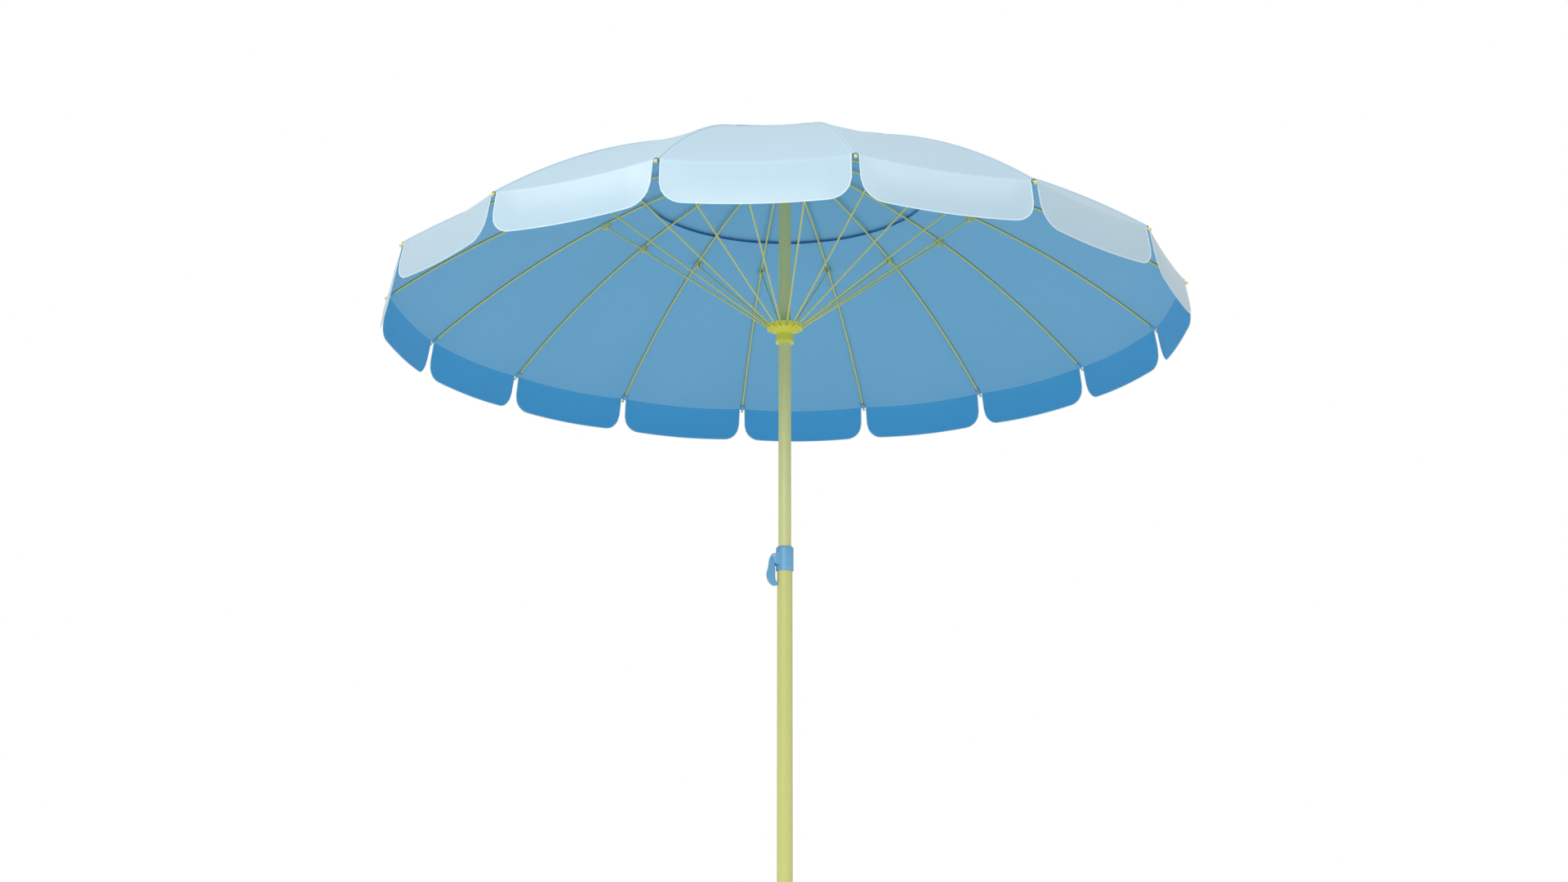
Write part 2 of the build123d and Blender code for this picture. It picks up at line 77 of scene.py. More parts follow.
crown = Vector((joints["rib_01_hinge"]["pos_m"][0], joints["rib_01_hinge"]["pos_m"][2]))
rivet = Vector((joints["stretcher_01_hinge"]["pos_m"][0], joints["stretcher_01_hinge"]["pos_m"][2]))
rib_low, rib_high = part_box("rib_01")
tip = Vector((rib_high.x - TIP_BALL_RADIUS, rib_low.z + TIP_BALL_RADIUS))


def circle_through(a, b, c):
    """Centre and radius of the circle through three points of a plane."""
    twice = 2 * (a.x * (b.y - c.y) + b.x * (c.y - a.y) + c.x * (a.y - b.y))
    aa, bb, cc = a.length_squared, b.length_squared, c.length_squared
    x = (aa * (b.y - c.y) + bb * (c.y - a.y) + cc * (a.y - b.y)) / twice
    y = (aa * (c.x - b.x) + bb * (a.x - c.x) + cc * (b.x - a.x)) / twice
    centre = Vector((x, y))
    return centre, (a - centre).length


outward = (tip - crown).orthogonal().normalized()
outward *= 1 if outward.y > 0 else -1
for _ in range(4):
    arc_centre, arc_radius = circle_through(crown, rivet + outward * RIVET_BELOW_WIRE, tip)
    outward = (rivet - arc_centre).normalized()
print(f"rib arc radius {arc_radius:.3f} m, rim at {tip.x:.3f} m from the pole and {tip.y:.3f} m up")

# %% [markdown]
# ## How cloth meshes are made here
# Each sheet is a grid of points with a second grid one cloth thickness below it, closed round its
# edge. Solidify would give the same, but building both faces by hand lets the upper and the under side
# take their own finish, and keeps the edges crisp. The grid's own coordinates, in metres, become
# the UV map, so weave and stitches come out at their real size.

# %% Cloth helpers
CLOTH = 0.0006


def new_object(name, vertices, faces, uvs, face_materials, materials, sharp_faces=()):
    """Mesh object from lists, with one UV for each vertex and one material index for each face."""
    mesh = bpy.data.meshes.new(name)
    mesh.from_pydata([tuple(v) for v in vertices], [], faces)
    for material in materials:
        mesh.materials.append(material)
    mesh.polygons.foreach_set("material_index", face_materials)
    mesh.polygons.foreach_set("use_smooth", [True] * len(faces))
    layer = mesh.uv_layers.new(name="UVMap")
    corner_vertices = np.empty(len(mesh.loops), int)
    mesh.loops.foreach_get("vertex_index", corner_vertices)
    layer.data.foreach_set("uv", np.array(uvs, float)[corner_vertices].ravel())
    sharp = {frozenset(pair) for face in sharp_faces for pair in zip(face, face[1:] + face[:1])}
    flags = [frozenset(edge.vertices) in sharp for edge in mesh.edges]
    mesh.attributes.new("sharp_edge", "BOOLEAN", "EDGE").data.foreach_set("value", flags)
    mesh.update()
    piece = bpy.data.objects.new(name, mesh)
    bpy.context.scene.collection.objects.link(piece)
    return piece


class Sheet:
    """Collects patches of upper and under cloth, and tubes of binding, into one mesh."""

    def __init__(self):
        self.vertices, self.uvs, self.faces, self.kinds, self.rims = [], [], [], [], []

    def add(self, points, uvs):
        start = len(self.vertices)
        self.vertices += [Vector(p) for p in points]
        self.uvs += [tuple(uv) for uv in uvs]
        return start

    def patch(self, grid, uvs, upper, under, flip, thickness=CLOTH):
        """Closed patch of cloth on a grid of upper points, with its under side and its rim."""
        rows, columns = len(grid), len(grid[0])
        normals = grid_normals(grid, flip)
        flat = [p for row in grid for p in row]
        below = [p - n * thickness for p, n in zip(flat, [n for row in normals for n in row])]
        flat_uvs = [uv for row in uvs for uv in row]
        top, bottom = self.add(flat, flat_uvs), self.add(below, flat_uvs)
        for i in range(rows - 1):
            for j in range(columns - 1):
                a = i * columns + j
                quad = [a, a + 1, a + columns + 1, a + columns]
                quad = quad[::-1] if flip else quad
                self.faces.append([top + v for v in quad])
                self.faces.append([bottom + v for v in quad[::-1]])
                self.kinds += [upper, under]
        loop = list(range(columns)) + [i * columns + columns - 1 for i in range(1, rows)]
        loop += [(rows - 1) * columns + j for j in range(columns - 2, -1, -1)]
        loop += [i * columns for i in range(rows - 2, 0, -1)]
        for a, b in zip(loop, loop[1:] + loop[:1]):
            rim = [top + b, top + a, bottom + a, bottom + b]
            rim = rim[::-1] if flip else rim
            self.faces.append(rim)
            self.kinds.append(upper)
            self.rims.append(rim)

    def tube(self, path, normals, inward, wide, thick, kind, sides=8, shift=0.6):
        """Flattened tube of binding along a path, set in from the edge by a share of its width."""
        rings, distance = [], 0.0
        for i, (p, n, side) in enumerate(zip(path, normals, inward)):
            distance += (p - path[i - 1]).length if i else 0.0
            centre = p + side * wide * shift
            ring, uvs = [], []
            for k in range(sides):
                turn = 2 * math.pi * k / sides
                ring.append(centre + side * wide * math.cos(turn) + n * thick * math.sin(turn))
                uvs.append((distance, wide * k / sides * 3))
            rings.append(self.add(ring, uvs))
        for a, b in zip(rings, rings[1:]):
            for k in range(sides):
                m = (k + 1) % sides
                self.faces.append([a + k, a + m, b + m, b + k])
                self.kinds.append(kind)
        for ring, order in ((rings[0], -1), (rings[-1], 1)):
            cap = [ring + k for k in range(sides)][::order]
            self.faces.append(cap)
            self.kinds.append(kind)
            self.rims.append(cap)

    def build(self, name, materials):
        return new_object(name, self.vertices, self.faces, self.uvs, self.kinds, materials, self.rims)


def grid_normals(grid, flip):
    """Unit normals of a grid of points, from its neighbours along rows and columns."""
    p = np.array([[list(v) for v in row] for row in grid])
    along, across = np.gradient(p, axis=0), np.gradient(p, axis=1)
    n = np.cross(across, along) * (-1 if flip else 1)
    n /= np.maximum(np.linalg.norm(n, axis=2, keepdims=True), 1e-12)
    return [[Vector(v) for v in row] for row in n]


print("cloth is", CLOTH * 1000, "mm thick")

# %% [markdown]
# ## Shader groups
# Several finishes share the same effects: a plain weave, a dashed line of stitches, slow changes of
# tone, and edges that have been handled. Each effect is one node group with named sockets, so every
# material can place it with its own values. The groups only put out masks, factors and heights.


# %% Group helpers
def new_group(name, inputs, outputs):
    """Empty shader group; inputs and outputs are (name, socket type, default)."""
    group = bpy.data.node_groups.new(name, "ShaderNodeTree")
    for in_out, sockets in (("INPUT", inputs), ("OUTPUT", outputs)):
        for title, kind, default in sockets:
            socket = group.interface.new_socket(title, in_out=in_out, socket_type="NodeSocket" + kind)
            if default is not None:
                socket.default_value = default
    return group, group.nodes.new("NodeGroupInput"), group.nodes.new("NodeGroupOutput")


def math_node(tree, operation, first, second=None, third=None, clamp=False):
    """Math node whose inputs are numbers or sockets; returns its output."""
    node = tree.nodes.new("ShaderNodeMath")
    node.operation = operation
    node.use_clamp = clamp
    for socket, value in zip(node.inputs, (first, second, third)):
        if value is None:
            continue
        if isinstance(value, bpy.types.NodeSocket):
            tree.links.new(value, socket)
        else:
            socket.default_value = value
    return node.outputs[0]


def noise_node(tree, vector, scale, detail=2.0, roughness=0.5):
    """Noise texture on a vector; returns its value."""
    node = tree.nodes.new("ShaderNodeTexNoise")
    node.inputs["Detail"].default_value = detail
    node.inputs["Roughness"].default_value = roughness
    tree.links.new(vector, node.inputs["Vector"])
    if isinstance(scale, bpy.types.NodeSocket):
        tree.links.new(scale, node.inputs["Scale"])
    else:
        node.inputs["Scale"].default_value = scale
    return node.outputs["Fac"]


def weave_group():
    """Plain weave: two sets of threads that pass over and under each other."""
    group, given, out = new_group(
        "plain weave",
        [("UV", "Vector", None), ("Threads per metre", "Float", 1600.0)],
        [("Height", "Float", None), ("Slub", "Float", None)],
    )
    split = group.nodes.new("ShaderNodeSeparateXYZ")
    group.links.new(given.outputs["UV"], split.inputs[0])
    waves = []
    for axis in ("X", "Y"):
        turns = math_node(group, "MULTIPLY", split.outputs[axis], given.outputs["Threads per metre"])
        waves.append(math_node(group, "SINE", math_node(group, "MULTIPLY", turns, math.pi)))
    crossing = math_node(group, "MULTIPLY", waves[0], waves[1])
    height = math_node(group, "MULTIPLY_ADD", crossing, 0.5, 0.5)
    group.links.new(height, out.inputs["Height"])
    stretch = group.nodes.new("ShaderNodeCombineXYZ")
    group.links.new(math_node(group, "MULTIPLY", split.outputs["X"], 6.0), stretch.inputs["X"])
    group.links.new(split.outputs["Y"], stretch.inputs["Y"])
    group.links.new(noise_node(group, stretch.outputs[0], 90.0, 3.0, 0.6), out.inputs["Slub"])
    return group


def stitch_group():
    """A dashed row of stitches beside the line where the UV's X is at a set distance."""
    group, given, out = new_group(
        "stitch row",
        [
            ("UV", "Vector", None),
            ("Distance", "Float", 0.004),
            ("Thread width", "Float", 0.0008),
            ("Stitch length", "Float", 0.003),
        ],
        [("Mask", "Float", None)],
    )
    split = group.nodes.new("ShaderNodeSeparateXYZ")
    group.links.new(given.outputs["UV"], split.inputs[0])
    away = math_node(group, "SUBTRACT", split.outputs["X"], given.outputs["Distance"])
    share = math_node(group, "DIVIDE", math_node(group, "ABSOLUTE", away), given.outputs["Thread width"])
    row = math_node(group, "SUBTRACT", 1.0, share, clamp=True)
    step = math_node(group, "DIVIDE", split.outputs["Y"], given.outputs["Stitch length"])
    wave = math_node(group, "SINE", math_node(group, "MULTIPLY", step, 2 * math.pi))
    dash = math_node(group, "MULTIPLY_ADD", wave, 2.0, 1.2, clamp=True)
    group.links.new(math_node(group, "MULTIPLY", row, dash), out.inputs["Mask"])
    return group


def tone_group():
    """Slow changes of tone over a piece, as dye, sun and dust leave them."""
    group, given, out = new_group(
        "slow tone",
        [("Position", "Vector", None), ("Scale", "Float", 3.0), ("Strength", "Float", 0.1)],
        [("Factor", "Float", None)],
    )
    value = noise_node(group, given.outputs["Position"], given.outputs["Scale"], 4.0, 0.55)
    centred = math_node(group, "MULTIPLY_ADD", value, 2.0, -1.0)
    factor = math_node(group, "MULTIPLY_ADD", centred, given.outputs["Strength"], 1.0)
    group.links.new(factor, out.inputs["Factor"])
    return group


def wear_group():
    """Mask of rubbed edges: sharp convex places, broken up by noise."""
    group, given, out = new_group(
        "rubbed edges",
        [("Position", "Vector", None), ("Amount", "Float", 0.5), ("Scale", "Float", 120.0)],
        [("Mask", "Float", None)],
    )
    geometry = group.nodes.new("ShaderNodeNewGeometry")
    point = math_node(group, "MULTIPLY_ADD", geometry.outputs["Pointiness"], 12.0, -6.4, clamp=True)
    grain = noise_node(group, given.outputs["Position"], given.outputs["Scale"], 3.0)
    broken = math_node(group, "MULTIPLY", point, math_node(group, "MULTIPLY", grain, 1.6))
    mask = math_node(group, "MULTIPLY", broken, given.outputs["Amount"], clamp=True)
    group.links.new(mask, out.inputs["Mask"])
    return group


WEAVE, STITCH, TONE, WEAR = weave_group(), stitch_group(), tone_group(), wear_group()
print("shader groups:", [group.name for group in (WEAVE, STITCH, TONE, WEAR)])


# %% Material helpers
def start_material(name, roughness, **sockets):
    """Material with its Principled shader, its object coordinates and its UVs."""
    material = bpy.data.materials.new(name)
    material.use_nodes = True
    tree = material.node_tree
    shader = tree.nodes["Principled BSDF"]
    shader.inputs["Roughness"].default_value = roughness
    for title, value in sockets.items():
        shader.inputs[title.replace("_", " ")].default_value = value
    coordinates = tree.nodes.new("ShaderNodeTexCoord")
    return material, tree, shader, coordinates.outputs["Object"], coordinates.outputs["UV"]


def place(tree, group, vector, **values):
    """Puts a group in a material with its own values; returns its outputs."""
    node = tree.nodes.new("ShaderNodeGroup")
    node.node_tree = group
    tree.links.new(vector, node.inputs[0])
    for title, value in values.items():
        node.inputs[title.replace("_", " ")].default_value = value
    return node.outputs


def mix_colour(tree, factor, first, second, mode="MIX"):
    """Mix of two colours, each a socket or a fixed colour."""
    node = tree.nodes.new("ShaderNodeMix")
    node.data_type = "RGBA"
    node.blend_type = mode
    for socket, value in ((node.inputs[0], factor), (node.inputs[6], first), (node.inputs[7], second)):
        if isinstance(value, bpy.types.NodeSocket):
            tree.links.new(value, socket)
        elif isinstance(value, (int, float)):
            socket.default_value = value
        else:
            socket.default_value = (*value, 1.0)
    return node.outputs[2]


def bump(tree, shader, height, strength, distance):
    """Feeds a height to the shader's normal."""
    node = tree.nodes.new("ShaderNodeBump")
    node.inputs["Strength"].default_value = strength
    node.inputs["Distance"].default_value = distance
    tree.links.new(height, node.inputs["Height"])
    tree.links.new(node.outputs[0], shader.inputs["Normal"])


def toned(tree, position, colour, scale, strength):
    """A colour multiplied by the slow-tone group."""
    factor = place(tree, TONE, position, Scale=scale, Strength=strength)["Factor"]
    grey = tree.nodes.new("ShaderNodeCombineColor")
    for socket in grey.inputs[:3]:
        tree.links.new(factor, socket)
    return mix_colour(tree, 1.0, colour, grey.outputs[0], "MULTIPLY")


# %% [markdown]
# ## Canopy cloth
# A beach canopy is dyed polyester in a plain weave; its under side is given a darker, deeper blue as
# painted shade and painted light through the cloth. A stitch row runs beside each seam. The weave and
# the stitches are only bump and tone, because threads of half a millimetre would cost millions of faces.


# %% Cloth materials
def cloth_material(name, colour, thread_colour, stitches, roughness=0.82, gloss=0.25):
    """Woven cloth with slub, slow tone and rows of stitches at set distances from the seam."""
    material, tree, shader, position, uv = start_material(name, roughness, Sheen_Weight=0.12)
    shader.inputs["Sheen Roughness"].default_value = 0.5
    shader.inputs["Specular IOR Level"].default_value = gloss
    base = toned(tree, position, colour, 2.5, 0.05)
    weave = place(tree, WEAVE, uv, Threads_per_metre=1700.0)
    slub = math_node(tree, "MULTIPLY_ADD", weave["Slub"], 0.12, 0.0)
    base = mix_colour(tree, slub, base, [c * 0.8 for c in colour])
    height = math_node(tree, "MULTIPLY", weave["Height"], 0.35)
    for distance in stitches:
        mask = place(tree, STITCH, uv, Distance=distance)["Mask"]
        base = mix_colour(tree, mask, base, thread_colour)
        height = math_node(tree, "ADD", height, mask)
    tree.links.new(base, shader.inputs["Base Color"])
    bump(tree, shader, height, 0.45, 0.0004)
    return material


OUTER_BLUE = (0.41, 0.58, 0.69)
# The inside blue is a darker, deeper copy of the outside blue: painted shade for the canopy's inside and painted
# light coming through the cloth.
INNER_SHADED_BLUE = (0.195, 0.51, 0.78)
# The vent hem's very dark blue is painted shade for the gap between the vent edge and the cap above it.
HEM_SHADE_BLUE = (0.006, 0.17, 0.62)
BINDING_BLUE = (0.66, 0.81, 0.89)
THREAD_BLUE = (0.62, 0.78, 0.87)

outer_cloth = cloth_material("canopy_outside", OUTER_BLUE, THREAD_BLUE, (0.0075, 0.0105), 0.5, 0.5)
# The inside cloth's darker blue is painted shade and painted light through the cloth, not a different dye.
inner_shaded_cloth = cloth_material("canopy_inside_shaded", INNER_SHADED_BLUE, (0.2, 0.42, 0.62), (0.0075, 0.0105))
flap_outer = cloth_material("valance_outside", (0.43, 0.60, 0.70), THREAD_BLUE, (0.0060,), 0.33, 1.0)
# The valance inside gets a darker, deeper blue than its outside: painted shade and painted light through the
# cloth.
flap_inner_shaded = cloth_material("valance_inside_shaded", (0.085, 0.44, 0.80), (0.13, 0.50, 0.84), (0.0060,))
binding_cloth = cloth_material("binding", BINDING_BLUE, (0.9, 0.93, 0.95), ())
# Hem cloth in that dark blue: painted shade for the gap under the cap.
hem_shade_cloth = cloth_material("vent_hem_shade", HEM_SHADE_BLUE, (0.01, 0.12, 0.42), ())
print("cloth materials:", [material.name for material in bpy.data.materials])

# %% [markdown]
# ## Canopy panels
# On the real canopy sixteen panels are sewn edge to edge, and each seam lies on a rib. The cloth is
# pulled tight along the ribs and hangs a little between them. Here each panel is split down its middle
# line, and each half rides on the rib that it is sewn to. Both halves work
# out their points from the same formula, so they meet without a step.

# %% Panel shape
VENT_RADIUS = 0.390
PANEL_TO_TIP = 0.006
CLOTH_ABOVE_WIRE = WIRE_RADIUS + 0.0012
SAG_SHARE = 0.026
NOTCH = 0.0075
FLAP_LENGTH = 0.097
FLAP_CORNER = 0.044
FLAP_ANGLE = math.radians(81)
FLAP_BULGE = 0.0035
BULGE_FROM_SIDE = 0.05
WAVE = 0.0011
HEM_BELOW = 0.0012
FLAP_BINDING_SIZE = (0.0013, 0.0008)
VENT_HEM_SIZE = (0.0014, 0.0009)
CAP_HEM_SIZE = (0.0016, 0.0008)


def on_rib(radius, lift):
    """Point on the first rib's plane at a distance from the pole, lifted off the wire's axis."""
    angle = math.asin((radius - arc_centre.x) / arc_radius)
    reach = arc_radius + lift
    return Vector((arc_centre.x + reach * math.sin(angle), 0.0, arc_centre.y + reach * math.cos(angle)))


def turned(point, angle):
    """Point turned about the pole."""
    c, s = math.cos(angle), math.sin(angle)
    return Vector((point.x * c - point.y * s, point.x * s + point.y * c, point.z))


def panel_point(radius, share, lift, sag):
    """Point of the panel beside the first rib; share is 0 on the rib and 1 on the middle line."""
    first = on_rib(radius, lift)
    last = turned(first, PITCH)
    point = first.lerp(last, share / 2)
    chord = (last - first).length
    return point - Vector((0, 0, 1)) * sag * chord * (1 - (1 - share) ** 2)


def ripple(point, strength):
    """Small uneven waves that hand sewing leaves, the same for both halves of a panel."""
    return Vector((0, 0, strength * noise.noise(point * 9.0)))


def spaced(start, end, count, bias=1.0):
    """Values from start to end, closer together near the start when bias is over 1."""
    return [start + (end - start) * (i / (count - 1)) ** bias for i in range(count)]


def half_panel(angle, side):
    """Half a panel and half its flap, as (upper points, UVs) grids in place on a rib."""
    def placed(point):
        return turned(Vector((point.x, side * point.y, point.z)), angle)

    rim = tip.x - PANEL_TO_TIP
    rim_half = rim * math.sin(HALF)
    notch_share = NOTCH / rim_half
    shares = spaced(0, notch_share, 3)[:-1] + spaced(notch_share, 1, 18, 1.35)
    radii = spaced(VENT_RADIUS, rim, 44)
    panel, panel_uvs = [], []
    for radius in radii:
        points = [placed(panel_point(radius, share, CLOTH_ABOVE_WIRE, SAG_SHARE)) for share in shares]
        fade = math.sin(math.pi * (radius - VENT_RADIUS) / (rim - VENT_RADIUS)) ** 0.5
        points = [p + ripple(p, WAVE * fade * min(1, 4 * s)) for p, s in zip(points, shares)]
        panel.append(points)
        panel_uvs.append([(share * radius * math.sin(HALF), radius) for share in shares])
    hanging = [share for share in shares if share >= notch_share - 1e-9]
    edge = panel[-1][len(shares) - len(hanging):]
    middle = angle + side * HALF
    out = Vector((math.cos(middle), math.sin(middle), 0))
    down = out * math.cos(FLAP_ANGLE) - Vector((0, 0, 1)) * math.sin(FLAP_ANGLE)
    face = out * math.sin(FLAP_ANGLE) + Vector((0, 0, 1)) * math.cos(FLAP_ANGLE)
    drops = [0, 0.02, 0.06] + spaced(0.12, 1, 12)
    flap, flap_uvs = [], []
    for drop in drops:
        row, uv_row = [], []
        for share, top in zip(hanging, edge):
            from_side = (share - notch_share) * rim_half
            missing = max(0.0, FLAP_CORNER - from_side)
            reach = FLAP_LENGTH - FLAP_CORNER + math.sqrt(FLAP_CORNER ** 2 - missing ** 2)
            length = drop * reach
            bulge = FLAP_BULGE * math.sin(math.pi * min(1, length / FLAP_LENGTH))
            bulge *= min(1, from_side / BULGE_FROM_SIDE)
            row.append(top + down * length + face * bulge)
            uv_row.append((length, share * rim_half))
        flap.append(row)
        flap_uvs.append(uv_row)
    return panel, panel_uvs, flap, flap_uvs


def edge_path(flap):
    """Points, normals and inward directions down a flap's side, round its corner and along its foot."""
    normals = grid_normals(flap, False)
    path = [row[0] for row in flap] + list(flap[-1][1:])
    facing = [row[0] for row in normals] + list(normals[-1][1:])
    centre = sum((row[-1] for row in flap), Vector()) / len(flap)
    inward = []
    for i, (p, n) in enumerate(zip(path, facing)):
        along = (path[min(i + 1, len(path) - 1)] - path[max(i - 1, 0)]).normalized()
        side = n.cross(along).normalized()
        inward.append(side if side.dot(centre - p) > 0 else -side)
    return path, facing, inward


print("one panel covers", round(math.degrees(PITCH), 1), "degrees")

# %% [markdown]
# ## Riding on the ribs
# Each half panel is parented to the body of the rib that it is sewn to, and gets a mesh of its own.


def fold(piece, body):
    """Rides a half panel on its rib and gives it a mesh of its own."""
    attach(piece, body)
    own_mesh(piece)


# %% Sew the canopy
UPPER, UNDER_SHADED, FLAP_OUT, FLAP_IN_SHADED, BINDING, HEM_SHADE = range(6)
canopy_materials = [outer_cloth, inner_shaded_cloth, flap_outer, flap_inner_shaded, binding_cloth, hem_shade_cloth]
rim_radius = tip.x - PANEL_TO_TIP

for number in range(RIBS):
    label = f"{number + 1:02d}"
    angle = number * PITCH
    for side, hand in ((1, "left"), (-1, "right")):
        flip = side > 0
        sheet = Sheet()
        panel, panel_uvs, flap, flap_uvs = half_panel(angle, side)
        sheet.patch(panel, panel_uvs, UPPER, UNDER_SHADED, flip)
        sheet.patch(flap, flap_uvs, FLAP_OUT, FLAP_IN_SHADED, flip)
        path, facing, inward = edge_path(flap)
        sheet.tube(path, facing, inward, *FLAP_BINDING_SIZE, BINDING)
        up = grid_normals(panel[:2], flip)[0]
        along = [(b - a).normalized() for a, b in zip(panel[0], panel[1])]
        lower = [p - n * HEM_BELOW for p, n in zip(panel[0], up)]
        # This hem along the vent edge is a real piece, coloured dark blue as painted shade for the gap under the
        # vent cap.
        sheet.tube(lower, up, along, *VENT_HEM_SIZE, HEM_SHADE, shift=0.5)
        piece = sheet.build(f"canopy_{label}_{hand}", canopy_materials)
        fold(piece, f"rib_{label}")
        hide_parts(f"canopy_gore_{label}")

# %% [markdown]
# ## Vent cap
# Warm air leaves through the gap round the crown, and a second, smaller canopy keeps the sun out of it.
# It is sewn from the same cloth and lies a little above the first layer. Its halves ride on the ribs in
# the same way, and a crown patch hides where its seams meet.

# %% Sew the vent cap
CAP_START = 0.047
CAP_END = 0.458
CAP_ABOVE_WIRE = 0.0105
CAP_EDGE_DROP = 0.0048
CAP_DROP_START = 0.40
CAP_WAVE = 0.0016


def half_cap(angle, side):
    """Half a cap panel as (upper points, UVs) grids in place on a rib."""
    shares = spaced(0, 1, 12)
    grid, uvs = [], []
    for radius in spaced(CAP_START, CAP_END, 26):
        near_end = max(0.0, (radius - CAP_DROP_START) / (CAP_END - CAP_DROP_START))
        lift = CAP_ABOVE_WIRE - CAP_EDGE_DROP * near_end
        row = []
        for share in shares:
            point = panel_point(radius, share, lift, SAG_SHARE * (0.9 + 0.25 * near_end))
            point = turned(Vector((point.x, side * point.y, point.z)), angle)
            row.append(point + ripple(point, CAP_WAVE * near_end * min(1, 3 * share)))
        grid.append(row)
        uvs.append([(share * radius * math.sin(HALF), radius) for share in shares])
    return grid, uvs


for number in range(RIBS):
    label = f"{number + 1:02d}"
    angle = number * PITCH
    for side, hand in ((1, "left"), (-1, "right")):
        sheet = Sheet()
        grid, uvs = half_cap(angle, side)
        sheet.patch(grid, uvs, UPPER, UNDER_SHADED, side > 0)
        foot = grid[-1]
        normals = grid_normals(grid[-2:], side > 0)[1]
        inward = [(a - b).normalized() for a, b in zip(grid[-2], grid[-1])]
        sheet.tube(foot, normals, inward, *CAP_HEM_SIZE, UPPER)
        piece = sheet.build(f"vent_cap_{label}_{hand}", canopy_materials)
        fold(piece, f"rib_{label}")
        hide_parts("vent_cap")
print("cap panels:", 2 * RIBS)

# %% [markdown]
# ## Seam tape, tip pockets and crown patch
# A felled seam stands a little proud of the cloth on each rib. At the rim a small pocket is sewn inside
# it, and the rib's end sits in the pocket. A round patch covers the middle of the cap under the
# finial. They are small pieces, but they show what holds the cloth to the frame.

# %% Seams and pockets
TAPE_HALF = 0.0055
TAPE_LIFT = 0.0011
TAPE_UNDER_CAP = 0.05
TAPE_OFFSETS = (-1.0, -0.86, -0.5, 0.0, 0.5, 0.86, 1.0)
POCKET_START = 0.981
POCKET_END = 0.993
POCKET_HALF = 0.0062
POCKET_DEPTH = 0.0046
POCKET_GAP = 0.0004


def ribbon_grid(start, end, rows, half_width, lift, angle):
    """Narrow strip along a rib, bent over the ridge, as (upper points, UVs) grids."""
    grid, uvs = [], []
    for radius in spaced(start, end, rows):
        row, uv_row = [], []
        for offset in TAPE_OFFSETS:
            share = abs(offset) * half_width / (radius * math.sin(HALF))
            crest = lift * (1 - offset ** 4)
            point = panel_point(radius, share, CLOTH_ABOVE_WIRE + crest, SAG_SHARE)
            point = Vector((point.x, math.copysign(1, offset) * point.y, point.z))
            row.append(turned(point, angle))
            uv_row.append((abs(offset) * half_width, radius))
        grid.append(row)
        uvs.append(uv_row)
    return grid, uvs


def pocket_grid(angle):
    """Sleeve of cloth under the wire near its tip, as (outer points, UVs) grids."""
    grid, uvs = [], []
    for i, radius in enumerate(spaced(POCKET_START, POCKET_END, 9)):
        row, uv_row = [], []
        grip = 1 + 0.25 * math.sin(math.pi * i / 8)
        for k in range(13):
            turn = math.pi * k / 12
            across = -math.cos(turn) * POCKET_HALF
            below = -math.sin(turn) ** 0.8 * POCKET_DEPTH * grip
            edge_lift = (CLOTH_ABOVE_WIRE - CLOTH - POCKET_GAP) * (1 - math.sin(turn))
            point = on_rib(radius, below + edge_lift)
            row.append(turned(Vector((point.x, across, point.z)), angle))
            uv_row.append((across + POCKET_HALF, radius))
        grid.append(row)
        uvs.append(uv_row)
    return grid, uvs


for number in range(RIBS):
    label = f"{number + 1:02d}"
    angle = number * PITCH
    sheet = Sheet()
    ribbon = ribbon_grid(CAP_END - TAPE_UNDER_CAP, rim_radius, 40, TAPE_HALF, TAPE_LIFT, angle)
    sheet.patch(*ribbon, UPPER, UPPER, False)
    tape = sheet.build(f"seam_tape_{label}", canopy_materials)
    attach(tape, f"rib_{label}")
    sheet = Sheet()
    sheet.patch(*pocket_grid(angle), UNDER_SHADED, UNDER_SHADED, True)
    pocket = sheet.build(f"tip_pocket_{label}", canopy_materials)
    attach(pocket, f"rib_{label}")
print("seam tapes and tip pockets:", 2 * RIBS)

# %% Crown patch
PATCH_RADIUS = 0.066
PATCH_HOLE = 0.0205
PATCH_CREASE = 0.0009
PATCH_ABOVE_CAP = 0.0022


def crown_patch():
    """Round patch over the cap's seams, pressed down by the finial."""
    grid, uvs = [], []
    for radius in spaced(PATCH_HOLE, PATCH_RADIUS, 9):
        ring_row, uv_row = [], []
        for k in range(4 * RIBS):
            turn = 2 * math.pi * k / (4 * RIBS)
            crease = PATCH_CREASE * math.cos(RIBS * turn) * radius / PATCH_RADIUS
            height = on_rib(max(radius, CAP_START), CAP_ABOVE_WIRE + PATCH_ABOVE_CAP).z + crease
            ring_row.append(Vector((radius * math.cos(turn), radius * math.sin(turn), height)))
            uv_row.append((radius - PATCH_HOLE, radius * turn))
        grid.append(ring_row + [ring_row[0].copy()])
        uvs.append(uv_row + [(radius - PATCH_HOLE, radius * 2 * math.pi)])
    return grid, uvs


sheet = Sheet()
sheet.patch(*crown_patch(), UPPER, UNDER_SHADED, True)
patch = sheet.build("crown_patch", canopy_materials)
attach(patch, "upper_pole")
print("crown patch:", 2 * PATCH_RADIUS, "m across")

# %% [markdown]
# ## Painted tubes and wires
# The poles, ribs and stretchers are steel with a pale yellow powder coat. Powder has a fine orange-peel
# skin and a soft gloss, and it rubs thin on its edges. A faint clear coat over a rougher base gives
# that look without a texture.


